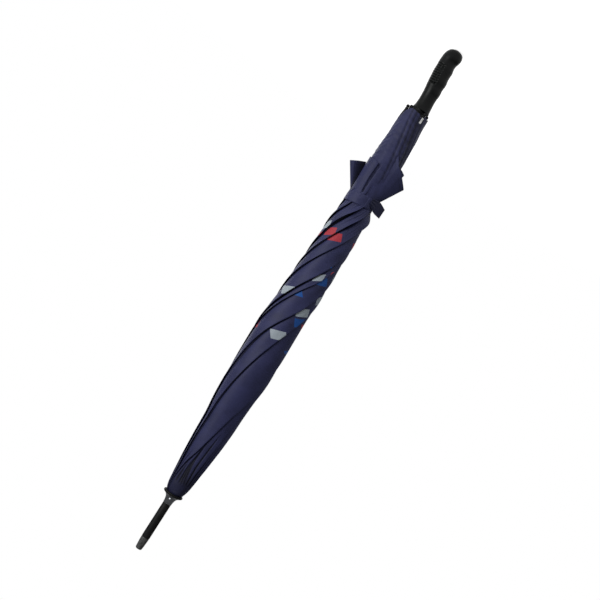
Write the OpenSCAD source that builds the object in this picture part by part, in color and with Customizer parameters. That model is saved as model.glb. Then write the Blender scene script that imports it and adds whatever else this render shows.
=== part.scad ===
// Long stick umbrella of the golf kind, furled, rolled up and strapped.
// Z runs along the shaft with the tip up. The origin is the middle of the hand grip, on the shaft.

/* [Frame] */
// Length of a rib from its eye at the crown to the end of its tip
rib_len = 761; // [735:1:785]
// Diameter of a rib's rod
rib_d = 3.6; // [3.2:0.1:3.8]
// Distance of a stretcher's rivet from the axis of its rib's rod
rivet_drop = 4.1; // [4:0.1:4.4]
// Outside diameter of the shaft
shaft_d = 14; // [13:0.5:14.5]
// Wall of the shaft's tube
shaft_wall = 1; // [0.8:0.1:1.3]

/* [Tip] */
// Length of the bare ferrule between the crown cap and the end cap
ferrule_len = 68; // [40:1:90]
// Length of the end cap beyond the ferrule
end_cap_len = 23; // [16:1:30]
// Diameter of the crown cap's flange
flange_d = 35; // [33:0.5:40]
// Length of the crown cap's trumpet
trumpet_len = 18; // [14:1:26]

/* [Handle] */
// Length of the handle
grip_len = 116; // [106:1:126]
// Greatest width of the handle
grip_w = 31.5; // [30:0.5:34]

/* [Cloth] */
// Greatest width of the rolled cloth
wrap_d = 71; // [70:1:78]
// Turn of the rolled cloth from the crown to the strap, in degrees
wrap_twist = 380; // [300:5:400]
// Width of the strap
strap_w = 20; // [16:1:24]
// Length of the strap's loose tail
tail_len = 32; // [26:1:36]

/* [Hidden] */
$fn = 48;
ribs = 8;
pitch = 360 / ribs;

// Air between pieces of different bodies
air = 0.3;

// Hubs: the wire rings that carry the eyes of the ribs and of the stretchers
shaft_r = shaft_d / 2;
ferrule_r = shaft_r + 0.25;
bore_r = shaft_r - shaft_wall;
pivot_r = shaft_r + 3.2;
hub_r = pivot_r + 2.6;
hub_h = 10;
wire_r = 0.6;
eye_r = 2;
eye_t = 1.8;
eye_bore = 0.8;
eye_tang = 14;
slot_w = eye_t + 0.8;
slot_floor = 2.4;

// Heights along the shaft
grip_top = grip_len / 2;
crown_z = grip_top + 4 + rib_len;
runner_tail = 36;
runner_z = grip_top + 3 + runner_tail;
patch_z = crown_z + hub_h / 2 + 0.5;
patch_t = 1.4;
cap_z = patch_z + patch_t + air;
flange_t = 3;
ferrule_z = cap_z + flange_t + trumpet_len;
tip_z = ferrule_z + ferrule_len;

// Each stretcher is as long as the stretch of rib above its rivet, so the runner stays on the shaft
arm_len = (crown_z - runner_z) / 2;
splay = asin(rivet_drop / arm_len);
knee = arm_len * cos(splay);
open_angle = 64;
runner_open_z = crown_z - 2 * arm_len * cos(open_angle);

// Ribs and stretchers
rib_r = rib_d / 2;
tip_ball_r = rib_r + 1.2;
tip_sleeve = 14;
rivet_r = 0.8;
ear_t = 2.4;
cheek_t = 0.6;
channel_w = ear_t + 2 * cheek_t + 0.8;
channel_half = rivet_drop - rib_r - 0.9;

// Catches, halfway between two ribs
catch_turn = pitch / 2;
nose_r = shaft_r + 2;
nose_h = 13;
low_catch_z = runner_z - 17;
high_catch_z = runner_open_z - runner_tail - nose_h / 2 - 0.6;

// Rolled cloth, by distance below the crown as a share of the rib's length
lap_air = 0.36;
gore_air = 0.4;
gore_t = 0.5;
gore_w = 2.2;
gore_from = 10;
wrap_from = 0.003;
wrap_to = 0.777;
strap_at = 0.761;
strap_z = crown_z - strap_at * rib_len;
strap_in = wrap_r(strap_at) + 0.4;
strap_t = 1.2;
strap_slant = 0.1;

function numbered(name) = [for (i = [1:ribs]) str(name, "_", i)];

// Radius of the panels along the ribs, the least radius of the rolled cloth round them, and its radius as wound
function panel_r(f) = pivot_r + rib_r + gore_air + gore_t + f * rib_len * sin(splay);
function frame_r(f) = panel_r(f) + lap(f) * 8 / 3 - lap_air + 0.8;
function wrap_r(f) = frame_r(f) + (wrap_d / 2 - frame_r(0.385)) * lookup(f, [
  [0.003, 0.06], [0.03, 0.217], [0.062, 0.302], [0.142, 0.5645], [0.221, 0.801], [0.293, 1.005],
  [0.385, 1], [0.516, 0.7797], [0.622, 0.524], [0.7, 0.285], [0.728, 0.119], [0.74, 0.04], [0.777, 0.0028]
]);

// How far one turn of the rolled cloth lies above the next
function lap(f) = lookup(f, [[0.003, 1.2], [0.08, 1.9]]);
function wrap_turn(f) = -wrap_twist * pow((f - wrap_from) / (wrap_to - wrap_from), 2.2);

// Places of the leaves' upper edges round the crown, and the rows of points along a leaf
function leaf_edge(turn) = lookup(turn, [
  [1, -20], [2, 23], [3, 70], [4, 92], [5, 149], [6, 197], [7, 241], [8, 290],
  [9, 340], [10, 383], [11, 430]
]);
leaf_rows = [
  0.003, 0.03, 0.062, 0.1, 0.142, 0.18, 0.221, 0.257, 0.293, 0.325, 0.355, 0.385, 0.412, 0.437, 0.46,
  0.482, 0.502, 0.522, 0.541, 0.56, 0.579, 0.598, 0.616, 0.634, 0.652, 0.67, 0.686, 0.7, 0.714, 0.728,
  0.74, 0.758, 0.777
];

function polar(r, a, z) = [r * cos(a), r * sin(a), z];

// Triangles of two stacked grids, of rows by columns, whose second one lies below the first
function cell(a, b, c, d) = [[a, b, c], [a, c, d]];
function flat(lists) = [for (l = lists) each l];
function slab_faces(rows, cols) = let (w = cols + 1, n = (rows + 1) * w) flat(concat(
  [for (j = [0:rows - 1], k = [0:cols - 1]) let (a = j * w + k) cell(a, a + 1, a + w + 1, a + w)],
  [for (j = [0:rows - 1], k = [0:cols - 1]) let (a = j * w + k + n) cell(a, a + w, a + w + 1, a + 1)],
  [for (j = [0:rows - 1]) let (a = j * w) cell(a, a + w, a + w + n, a + n)],
  [for (j = [0:rows - 1]) let (a = j * w + cols) cell(a, a + n, a + w + n, a + w)],
  [for (k = [0:cols - 1]) cell(k, k + n, k + 1 + n, k + 1)],
  [for (k = [0:cols - 1]) let (a = rows * w + k) cell(a, a + 1, a + 1 + n, a + n)]
));

// Triangles of two stacked tubes, of rows by sides, and of one tube closed by its two end points
function sleeve_faces(rows, sides) = let (n = (rows + 1) * sides) flat(concat(
  [for (j = [0:rows - 1], k = [0:sides - 1]) let (a = j * sides, b = (k + 1) % sides)
    cell(a + k, a + b, a + sides + b, a + sides + k)],
  [for (j = [0:rows - 1], k = [0:sides - 1]) let (a = j * sides + n, b = (k + 1) % sides)
    cell(a + k, a + sides + k, a + sides + b, a + b)],
  [for (k = [0:sides - 1]) let (b = (k + 1) % sides) cell(k, k + n, b + n, b)],
  [for (k = [0:sides - 1]) let (b = (k + 1) % sides, a = rows * sides) cell(a + k, a + b, a + b + n, a + k + n)]
));
function loft_faces(rows, sides) = let (n = (rows + 1) * sides) concat(
  flat([for (j = [0:rows - 1], k = [0:sides - 1]) let (a = j * sides, b = (k + 1) % sides)
    cell(a + k, a + b, a + sides + b, a + sides + k)]),
  [for (k = [0:sides - 1]) [n, (k + 1) % sides, k]],
  [for (k = [0:sides - 1]) [n + 1, rows * sides + k, rows * sides + (k + 1) % sides]]
);

module around(i) {
  rotate([0, 0, pitch * (i - 1)])
    children();
}

// Frame of a rib: its eye at the origin, its rod down -Z, +X away from the shaft
module on_rib(i) {
  around(i)
    translate([pivot_r, 0, crown_z])
      rotate([0, -splay, 0])
        children();
}

module cross(r, h) {
  rotate([90, 0, 0])
    cylinder(r = r, h = h, center = true);
}

module down(r, from, to) {
  translate([0, 0, -to])
    cylinder(r = r, h = to - from);
}

module ring(r, wire) {
  rotate_extrude()
    translate([r, 0])
      circle(r = wire);
}

// Hub with a slot for each eye; the slots open towards `side` (-1 down, 1 up) and outwards
module slotted_hub(bore, side) {
  difference() {
    cylinder(r = hub_r, h = hub_h, center = true);
    cylinder(r = bore, h = hub_h + 2, center = true);
    for (i = [1:ribs])
      around(i)
        translate([pivot_r - eye_r - 0.2, -slot_w / 2, side > 0 ? -slot_floor : -hub_h])
          cube([hub_r, slot_w, hub_h + slot_floor]);
    rotate_extrude()
      translate([pivot_r - wire_r - 0.1, -wire_r - 0.15])
        square([hub_r, 2 * wire_r + 0.3]);
  }
}

module shaft() {
  color("#2a2b2d")
    difference() {
      translate([0, 0, 12 - grip_top])
        cylinder(r = shaft_r, h = ferrule_z + grip_top - 12);
      translate([0, 0, 11 - grip_top])
        cylinder(r = bore_r, h = ferrule_z + grip_top);
      for (z = [low_catch_z, high_catch_z])
        rotate([0, 0, catch_turn])
          translate([bore_r - 2, -1.9, z - nose_h / 2 - 1])
            cube([6, 3.8, nose_h + 3.2]);
    }
}

module ferrule() {
  color("#1a1a1b")
    difference() {
      union() {
        translate([0, 0, ferrule_z])
          cylinder(r = ferrule_r, h = ferrule_len);
        translate([0, 0, ferrule_z - 22])
          cylinder(r = bore_r - 0.05, h = 23);
      }
      translate([0, 0, tip_z - 14])
        cylinder(r = 4, h = 15);
    }
}

module end_cap() {
  color("#3a3b3d")
    rotate_extrude()
      polygon([
        [0, tip_z - 13], [3.95, tip_z - 13], [3.95, tip_z], [ferrule_r - 0.1, tip_z],
        [ferrule_r - 0.2, tip_z + 5], [ferrule_r - 1.4, tip_z + end_cap_len - 3],
        [ferrule_r - 2.2, tip_z + end_cap_len - 1], [ferrule_r - 3.7, tip_z + end_cap_len],
        [0, tip_z + end_cap_len]
      ]);
}

module crown_cap() {
  top = shaft_r + 0.8;
  foot = shaft_r + 4.4;
  steps = 8;
  color("#161617")
    rotate_extrude()
      polygon(concat(
        [[shaft_r + 0.05, cap_z], [flange_d / 2 - 0.8, cap_z], [flange_d / 2, cap_z + 0.8]],
        [[flange_d / 2, cap_z + flange_t - 0.8], [flange_d / 2 - 0.8, cap_z + flange_t]],
        [for (k = [0:steps]) [
          top + (foot - top) * pow(1 - k / steps, 2.2),
          cap_z + flange_t + trumpet_len * k / steps
        ]],
        [[shaft_r + 0.05, ferrule_z]]
      ));
}

module crown_patch() {
  color("#2b2d4a")
    rotate_extrude()
      polygon([
        [shaft_r + 0.2, patch_z + patch_t], [hub_r + 0.8, patch_z + patch_t],
        [flange_d / 2 + 0.5, patch_z - 4.9], [flange_d / 2 - 0.5, patch_z - 4.9],
        [hub_r + 0.2, patch_z], [shaft_r + 0.2, patch_z]
      ]);
}

module top_notch() {
  color("#1d1d1f")
    translate([0, 0, crown_z])
      slotted_hub(shaft_r + 0.05, -1);
}

module notch_ring() {
  color("#9a9da1")
    translate([0, 0, crown_z])
      ring(pivot_r, wire_r);
}

module runner() {
  color("#1d1d1f")
    translate([0, 0, runner_z])
      difference() {
        union() {
          slotted_hub(shaft_r + air, 1);
          difference() {
            translate([0, 0, -runner_tail])
              cylinder(r = shaft_r + 3.6, h = runner_tail - hub_h / 2);
            translate([0, 0, -runner_tail - 1])
              cylinder(r = shaft_r + air, h = runner_tail);
          }
          difference() {
            translate([0, 0, -runner_tail])
              cylinder(r = shaft_r + 5, h = 4);
            translate([0, 0, -runner_tail - 1])
              cylinder(r = shaft_r + air, h = 6);
          }
        }
        rotate([0, 0, catch_turn])
          translate([0, -1.9, -runner_tail - 1])
            cube([nose_r + air, 3.8, runner_tail + hub_h]);
      }
}

module runner_ring() {
  color("#9a9da1")
    translate([0, 0, runner_z])
      ring(pivot_r, wire_r);
}

// Spring catch: a leaf inside the tube with a nose through the wall, flat on `side` and sloped opposite
module catch_at(z, side) {
  color("#b9bcc0")
    rotate([0, 0, catch_turn])
      translate([0, 0, z])
        union() {
          translate([bore_r - 2.1, -2.3, -nose_h / 2 - 5])
            cube([1.3, 4.6, nose_h + 10]);
          translate([0, 1.5, 0])
            rotate([90, 0, 0])
              linear_extrude(height = 3)
                polygon([
                  [bore_r - 1.5, -nose_h / 2], [bore_r - 1.5, nose_h / 2],
                  [side > 0 ? nose_r : shaft_r, nose_h / 2],
                  [nose_r, side * nose_h / 5],
                  [side > 0 ? shaft_r : nose_r, -nose_h / 2]
                ]);
        }
}

module top_catch() {
  catch_at(high_catch_z, 1);
}

module bottom_catch() {
  catch_at(low_catch_z, -1);
}

// Side outline of the handle: reach from the shaft's axis on its back (+X) and on its finger side
function grip_back(h) = grip_w / 31.5 * lookup(h, [
  [-0.5, 3.5], [-0.474, 9.3], [-0.431, 12.9], [-0.388, 14.7], [-0.345, 15.5], [-0.26, 15.9], [-0.17, 15.7],
  [-0.086, 15.5], [0, 14.5], [0.086, 13.5], [0.172, 11.9], [0.26, 10.7], [0.345, 10.1], [0.43, 10.1],
  [0.474, 10.7], [0.5, 11.5]
]);
function grip_front(h) = grip_w / 31.5 * lookup(h, [
  [-0.5, 8], [-0.474, 13.5], [-0.431, 16.3], [-0.388, 16.9], [-0.345, 15.9], [-0.302, 14.3], [-0.26, 13.9],
  [-0.215, 14.5], [-0.172, 15.5], [-0.086, 15.5], [-0.043, 15.9], [0, 16.9], [0.043, 17.1], [0.086, 16.7],
  [0.13, 16.7], [0.172, 17.3], [0.215, 17.3], [0.26, 16.9], [0.3, 16.7], [0.345, 16.9], [0.39, 17.3],
  [0.43, 17.9], [0.474, 18.5], [0.5, 18.9]
]);

module handle() {
  rows = 36;
  sides = 32;
  color("#202326")
    difference() {
      polyhedron(
        points = concat(
          [for (j = [0:rows], k = [0:sides - 1])
            let (h = 0.5 - pow(j / rows, 0.8), a = 360 * k / sides)
            let (back = grip_back(h), front = grip_front(h))
            [
              (back - front) / 2 + (back + front) / 2 * cos(a),
              0.46 * (back + front) * sin(a),
              grip_len * h
            ]],
          [[0, 0, grip_top], [-1, 0, -grip_top]]
        ),
        faces = loft_faces(rows, sides)
      );
      translate([0, 0, 12 - grip_top])
        cylinder(r = shaft_r + 0.05, h = grip_len);
    }
}

// One leaf of the rolled cloth, wound round the ribs and lying over the leaf before it
module leaf(i) {
  rows = len(leaf_rows) - 1;
  cols = 5;
  grid = [for (f = leaf_rows, k = [0:cols])
    [wrap_r(f) - lap(f) * k / 3, wrap_turn(f) + leaf_edge(i + k / 3), crown_z - f * rib_len, lap(f) - lap_air]];
  polyhedron(
    points = concat(
      [for (g = grid) polar(g[0], g[1], g[2])],
      [for (g = grid) polar(g[0] - g[3], g[1], g[2])]
    ),
    faces = slab_faces(rows, cols)
  );
}

module furled_canopy() {
  color("#33355a")
    for (i = [1:ribs])
      leaf(i);
}

// Gathered cloth from the strap to the rib tips, in slanting folds, cut higher on its +X side
module hem_bundle() {
  rows = 10;
  sides = 36;
  from = strap_z - strap_w / 2 - 3;
  grid = [for (j = [0:rows], k = [0:sides - 1])
    let (s = j / rows, a = 360 * k / sides, rise = pow(max(0, cos(a + 10)), 2))
    let (to = grip_top + tip_sleeve - 2 + 16 * rise)
    let (fold = lookup(s, [[0, 0], [0.3, 0.2], [0.55, 0.6], [1, 0.1]]) * sin(ribs * (a - 60 * s)))
    let (share = lookup(s, [[0, 0.892], [0.2, 0.98], [0.46, 1.02], [0.72, 0.947], [0.85, 0.916], [1, 0.908]]))
    [strap_in * share + fold, a, from + (to - from) * s]];
  color("#33355a")
    polyhedron(
      points = concat(
        [for (g = grid) polar(g[0], g[1], g[2])],
        [for (g = grid) polar(g[0] - 1.3, g[1], g[2])]
      ),
      faces = sleeve_faces(rows, sides)
    );
}

// Corners of the hem that stand out below the strap: the place of each one's root, then its hem from one foot
// over the fold to the other foot, each point as its turn, its reach by the strap's radius and its drop
petal_roots = [[0, 30], [46, 66], [78, 103], [110, 134], [144, 168], [182, 256], [268, 280], [287, 346]];
petal_hems = [
  [
    [9, 1.08, 49], [-3, 1.49, 43], [-7, 1.73, 39], [-2, 1.95, 36],
    [7, 1.81, 38], [20, 1.5, 44], [37, 1.09, 50]
  ],
  [
    [44, 1.08, 50], [47, 1.29, 47], [50, 1.54, 43], [54, 1.6, 42],
    [58, 1.5, 44], [64, 1.29, 47], [70, 1.08, 50]
  ],
  [
    [76, 1.08, 55], [81, 1.21, 53], [87, 1.38, 50], [92, 1.43, 49],
    [96, 1.38, 50], [101, 1.21, 53], [105, 1.08, 55]
  ],
  [
    [108, 1.08, 51], [112, 1.25, 48], [116, 1.46, 45], [120, 1.56, 43],
    [124, 1.48, 45], [130, 1.27, 48], [136, 1.08, 51]
  ],
  [
    [140, 1.08, 51], [148, 1.21, 55], [156, 1.42, 60], [162, 1.6, 64],
    [166, 1.52, 62], [169, 1.29, 58], [172, 1.08, 54]
  ],
  [
    [177, 1.08, 49], [193, 2.01, 41], [213, 1.72, 57], [229, 1.42, 64],
    [243, 1.16, 68], [254, 1.09, 68], [262, 1.08, 66]
  ],
  [
    [267, 1.08, 59], [270, 1.11, 59], [273, 1.125, 59], [275, 1.12, 59],
    [278, 1.11, 59], [280, 1.1, 59], [282, 1.08, 59]
  ],
  [
    [294, 1.07, 53], [287, 1.16, 54], [294, 1.185, 55], [306, 1.2, 56],
    [320, 1.18, 57], [333, 1.13, 58], [341, 1.08, 57]
  ]
];

function unit(v) = v / norm(v);

module petal(i) {
  rows = 4;
  cols = 6;
  thick = 0.8;
  root_r = strap_in * 0.967;
  root_z = strap_z - strap_w / 2 - 3;
  from = petal_roots[i - 1];
  hem = petal_hems[i - 1];
  grid = [for (j = [0:rows]) [for (k = [0:cols])
    let (v = j / rows, root = polar(root_r, from[0] + (from[1] - from[0]) * k / cols, root_z))
    let (end = polar(strap_in * hem[k][1], hem[k][0], root_z - hem[k][2]))
    root + (end - root) * v]];
  lining = [for (j = [0:rows], k = [0:cols])
    let (down = grid[min(j + 1, rows)][k] - grid[max(j - 1, 0)][k])
    let (over = grid[j][min(k + 1, cols)] - grid[j][max(k - 1, 0)])
    grid[j][k] - thick * unit(cross(down, over))];
  polyhedron(
    points = concat([for (row = grid) each row], lining),
    faces = slab_faces(rows, cols)
  );
}

module hem_petals() {
  color("#33355a")
    for (i = [1:ribs])
      petal(i);
}

// Leans the strap, so that its -X side lies nearer the handle
module slanted() {
  multmatrix([[1, 0, 0, 0], [0, 1, 0, 0], [strap_slant, 0, 1, strap_z]])
    children();
}

module strap() {
  color("#2f3153")
    slanted()
      difference() {
        cylinder(r = strap_in + strap_t, h = strap_w, center = true);
        cylinder(r = strap_in, h = strap_w + 2, center = true);
      }
}

// The strap's loose end leaves the roll along its tangent, gathered at its root
module strap_tail() {
  root = strap_in + strap_t + air;
  half = strap_w / 2;
  color("#2f3153")
    rotate([0, 0, -125])
      translate([root, 0, strap_z])
        rotate([90, 0, 90])
          linear_extrude(height = strap_t)
            polygon([
              [0, -1.3 * half], [-tail_len / 2, -1.62 * half], [-tail_len, -0.95 * half],
              [-tail_len, 0.88 * half], [-tail_len / 2, 0.63 * half], [0, -0.24 * half]
            ]);
}

module care_label() {
  color("#e9e9e6")
    rotate([0, 0, -125])
      translate([strap_in * 0.935, -2, grip_top + 14.5])
        cube([0.6, 4, 10.5]);
}

module rib(i) {
  color("#2c2e31")
    on_rib(i)
      difference() {
        union() {
          down(rib_r, 7, rib_len - 4.2);
          translate([-1.5, -eye_t / 2, -10])
            cube([3, eye_t, 10]);
          cross(eye_r, eye_t);
        }
        cross(eye_bore, 4);
      }
}

// Clip on a rib's rod with the ear that carries its stretcher, and the rivet through the ear
module rib_joint(i) {
  color("#1a1a1b")
    on_rib(i)
      translate([0, 0, -knee])
        difference() {
          union() {
            cylinder(r = rib_r + 0.55, h = 14, center = true);
            translate([-rivet_drop, -ear_t / 2, -channel_half])
              cube([rivet_drop - rib_r, ear_t, 2 * channel_half]);
            translate([-rivet_drop, 0, 0])
              cross(channel_half, ear_t);
          }
          cylinder(r = rib_r + 0.05, h = 16, center = true);
          translate([rib_r - 0.5, -5, -8])
            cube([5, 10, 16]);
          translate([-rivet_drop, 0, 0])
            cross(rivet_r + 0.02, 10);
        }
  color("#b9bcc0")
    on_rib(i)
      translate([-rivet_drop, 0, -knee]) {
        cross(rivet_r, channel_w + 2 * air);
        for (s = [-1, 1])
          translate([0, s * (channel_w / 2 + air + 0.3), 0])
            cross(1.4, 0.6);
      }
}

module rib_tip(i) {
  color("#141415")
    on_rib(i)
      difference() {
        union() {
          down(rib_r + 0.8, rib_len - tip_sleeve, rib_len - tip_ball_r);
          translate([0, 0, tip_ball_r - rib_len])
            sphere(r = tip_ball_r);
        }
        down(rib_r + 0.05, rib_len - tip_sleeve - 1, rib_len - 4);
      }
}

// Channel that opens towards its rib, forked at the rivet and flattened to an eye at the runner
module stretcher(i) {
  inside = channel_w / 2 - cheek_t;
  body = arm_len - 9;
  color("#6d7074")
    around(i)
      translate([pivot_r, 0, crown_z - arm_len])
        difference() {
          union() {
            difference() {
              translate([-channel_half, -channel_w / 2, -body])
                cube([2 * channel_half, channel_w, body]);
              translate([cheek_t - channel_half, -inside, -body - 1])
                cube([2 * channel_half, 2 * inside, body + 2]);
              translate([-channel_half - 1, -inside, -5])
                cube([2 * channel_half, 2 * inside, 6]);
            }
            for (s = [-1, 1])
              translate([0, s * (inside + cheek_t / 2), 0])
                cross(channel_half, cheek_t);
            translate([-channel_half, -eye_t / 2, -arm_len])
              cube([2 * channel_half, eye_t, eye_tang]);
            translate([0, 0, -arm_len])
              cross(eye_r, eye_t);
          }
          cross(rivet_r + 0.05, 10);
          translate([0, 0, -arm_len])
            cross(eye_bore, 4);
        }
}

// Strip of a cloth panel that lies along its rib, from the crown to the tip
module gore(i) {
  color("#33355a")
    on_rib(i)
      translate([rib_r + gore_air, 0, tip_sleeve + 2 - rib_len])
        cube([gore_t, gore_w, rib_len - tip_sleeve - 2 - gore_from]);
}

shaft();
ferrule();
end_cap();
crown_cap();
crown_patch();
top_notch();
notch_ring();
runner();
runner_ring();
top_catch();
bottom_catch();
handle();
furled_canopy();
hem_bundle();
hem_petals();
strap();
strap_tail();
care_label();
for (i = [1:ribs]) {
  rib(i);
  rib_joint(i);
  rib_tip(i);
  stretcher(i);
  gore(i);
}
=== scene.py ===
import bmesh
import bpy
import math
from mathutils import Matrix, Vector


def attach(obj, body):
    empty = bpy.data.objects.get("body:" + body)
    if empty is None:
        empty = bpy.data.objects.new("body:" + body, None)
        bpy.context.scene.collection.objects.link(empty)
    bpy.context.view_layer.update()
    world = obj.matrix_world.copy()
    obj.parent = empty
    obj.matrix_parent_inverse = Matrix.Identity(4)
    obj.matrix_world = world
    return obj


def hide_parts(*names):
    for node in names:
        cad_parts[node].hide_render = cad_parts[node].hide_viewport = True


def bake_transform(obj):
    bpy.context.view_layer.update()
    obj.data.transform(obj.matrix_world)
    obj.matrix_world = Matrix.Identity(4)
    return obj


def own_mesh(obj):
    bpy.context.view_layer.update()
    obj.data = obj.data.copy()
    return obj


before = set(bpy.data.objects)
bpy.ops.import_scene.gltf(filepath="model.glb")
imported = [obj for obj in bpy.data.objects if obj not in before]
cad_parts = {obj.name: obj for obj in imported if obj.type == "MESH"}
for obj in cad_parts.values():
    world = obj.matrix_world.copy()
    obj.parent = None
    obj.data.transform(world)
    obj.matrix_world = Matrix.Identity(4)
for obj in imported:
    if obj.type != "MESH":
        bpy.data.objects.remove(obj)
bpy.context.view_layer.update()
mm = 0.001

# sizes that the pieces share, in mm: the shaft is on Z with its tip up, and the middle of the
# hand grip is the origin
stick = dict(ribs=8, ribLen=761, pivotR=10.2, crownZ=823, rivetDrop=4.1, armLen=363,
             fanTurn=41.7437, capZ=830.2, ferruleZ=851.2, tipZ=919.2, ferruleR=7.25, strapZ=243.88)
pitch = 360 / stick["ribs"]
splay = math.asin(stick["rivetDrop"] / stick["armLen"])
ribNumbers = range(1, stick["ribs"] + 1)
weld = dict(turned=0.0005, seam=0.001)  # points closer than this become one


def along(table, x):  # straight reading of a table of (place, value)
    for (x0, y0), (x1, y1) in zip(table, table[1:]):
        if x <= x1:
            return y0 + (y1 - y0) * max(0, (x - x0) / (x1 - x0))
    return table[-1][1]


def flowing(table, x):  # the same through a smooth curve
    last = len(table) - 1
    k = max(0, min(last - 1, sum(1 for row in table if row[0] <= x) - 1))
    (x0, y0), (x1, y1) = table[k], table[k + 1]
    before, after = table[max(0, k - 1)], table[min(last, k + 2)]
    u = max(0, min(1, (x - x0) / (x1 - x0)))
    m0 = (y1 - before[1]) / (x1 - before[0]) * (x1 - x0)
    m1 = (after[1] - y0) / (after[0] - x0) * (x1 - x0)
    return ((2 * u ** 3 - 3 * u ** 2 + 1) * y0 + (u ** 3 - 2 * u ** 2 + u) * m0
            + (3 * u ** 2 - 2 * u ** 3) * y1 + (u ** 3 - u ** 2) * m1)


def ease(x):  # 0 to 1, soft at both ends
    x = max(0, min(1, x))
    return x * x * (3 - 2 * x)


def bump(x, centre, width):
    return math.exp(-((x - centre) / width) ** 2)


def wave(shape, x, i=1):  # shape is its height, its turns and its shift, which grows with i
    high, turns, shift = shape
    return high * math.sin(turns * x + shift * i)


def around(radius, degrees, z):
    a = math.radians(degrees)
    return Vector((radius * math.cos(a), radius * math.sin(a), z))


def ribPlace(i):  # rib i's own frame: X outwards, Y round the shaft, -Z down the rod
    return (Matrix.Rotation(math.radians(pitch * (i - 1)), 4, "Z")
            @ Matrix.Translation((stick["pivotR"], 0, stick["crownZ"]))
            @ Matrix.Rotation(-splay, 4, "Y"))


def turned(profile, steps=72):  # spins a profile of (radius, z) round Z
    bm = bmesh.new()
    line = [bm.verts.new((r, 0, z)) for r, z in profile]
    edges = [bm.edges.new(pair) for pair in zip(line, line[1:])]
    bmesh.ops.spin(bm, geom=line + edges, cent=(0, 0, 0), axis=(0, 0, 1), angle=math.tau,
                   steps=steps, use_merge=True)
    bmesh.ops.remove_doubles(bm, verts=bm.verts, dist=weld["turned"])
    bmesh.ops.recalc_face_normals(bm, faces=bm.faces)
    return bm


# a grid bent into a sheet of cloth: place, flat place, distance to the hem and painted shade, each
# from the shares across and along the sheet
def cloth(cols, rows, place, flatPlace, hemRun=None, paintedShade=None, closed=False):
    bm = bmesh.new()
    bmesh.ops.create_grid(bm, x_segments=cols, y_segments=rows, size=0.5)
    uvLayer = bm.loops.layers.uv.new("cloth")
    hemLayer = bm.verts.layers.float.new("hemRun")
    paintedShadeLayer = bm.verts.layers.float.new("paintedShade")
    spots = {v: (v.co.x + 0.5, v.co.y + 0.5) for v in bm.verts}
    for face in bm.faces:
        for loop in face.loops:
            u, v = flatPlace(*spots[loop.vert])
            loop[uvLayer].uv = (u * mm, v * mm)
    for vert, (s, t) in spots.items():
        vert[hemLayer] = hemRun(s, t) * mm if hemRun else 1.0
        # painted shade for the cloth's colour, by vertex
        vert[paintedShadeLayer] = paintedShade(s, t) if paintedShade else 0.0
        vert.co = place(s, t)
    if closed:
        bmesh.ops.remove_doubles(bm, verts=bm.verts, dist=weld["seam"])
    bmesh.ops.recalc_face_normals(bm, faces=bm.faces)
    return bm


def clothArea(bm):  # square metres, from mm
    return sum(face.calc_area() for face in bm.faces) * mm * mm


def keep(bm, name, material, body=None, nodes=()):  # mm to metres, object at the origin
    bmesh.ops.scale(bm, vec=(mm, mm, mm), verts=bm.verts)
    mesh = bpy.data.meshes.new(name)
    bm.to_mesh(mesh)
    bm.free()
    mesh.shade_smooth()
    mesh.materials.append(material)
    piece = bpy.data.objects.new(name, mesh)
    bpy.context.scene.collection.objects.link(piece)
    if body:
        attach(piece, body)
    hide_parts(*nodes)
    return piece


def soften(piece, width):  # rounds the turned edges of a hard piece
    edge = piece.modifiers.new("edge", "BEVEL")
    edge.width = width * mm
    edge.segments = 2
    edge.limit_method = "ANGLE"
    edge.angle_limit = math.radians(32)


def thicken(piece, thickness, offset=-1):  # offset 0 puts half of the wall on each side
    wall = piece.modifiers.new("cloth", "SOLIDIFY")
    wall.thickness = thickness * mm
    wall.offset = offset


# materials
waveUnit = 0.314  # length of one wave of a wave texture at scale 1


def linear(hexColour):
    parts = [int(hexColour[k:k + 2], 16) / 255 for k in (1, 3, 5)]
    return [c / 12.92 if c <= 0.04045 else ((c + 0.055) / 1.055) ** 2.4 for c in parts] + [1]


def addNode(owner, kind, inputs=None, links=None, **settings):  # owner is a material or the world
    node = owner.node_tree.nodes.new(kind)
    for key, value in settings.items():
        setattr(node, key, value)
    for key, value in (inputs or {}).items():
        node.inputs[key].default_value = value
    for key, source in (links or {}).items():
        owner.node_tree.links.new(source, node.inputs[key])
    return node


def blank(name, values):  # a material with its uniform values set on the shader itself
    material = bpy.data.materials.new(name)
    material.use_nodes = True
    shader = material.node_tree.nodes["Principled BSDF"]
    for key, value in values.items():
        shader.inputs[key].default_value = value
    return material, shader


def plug(material, shader, **sources):
    names = dict(colour="Base Color", roughness="Roughness", normal="Normal")
    for key, source in sources.items():
        material.node_tree.links.new(source, shader.inputs[names[key]])


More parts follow.
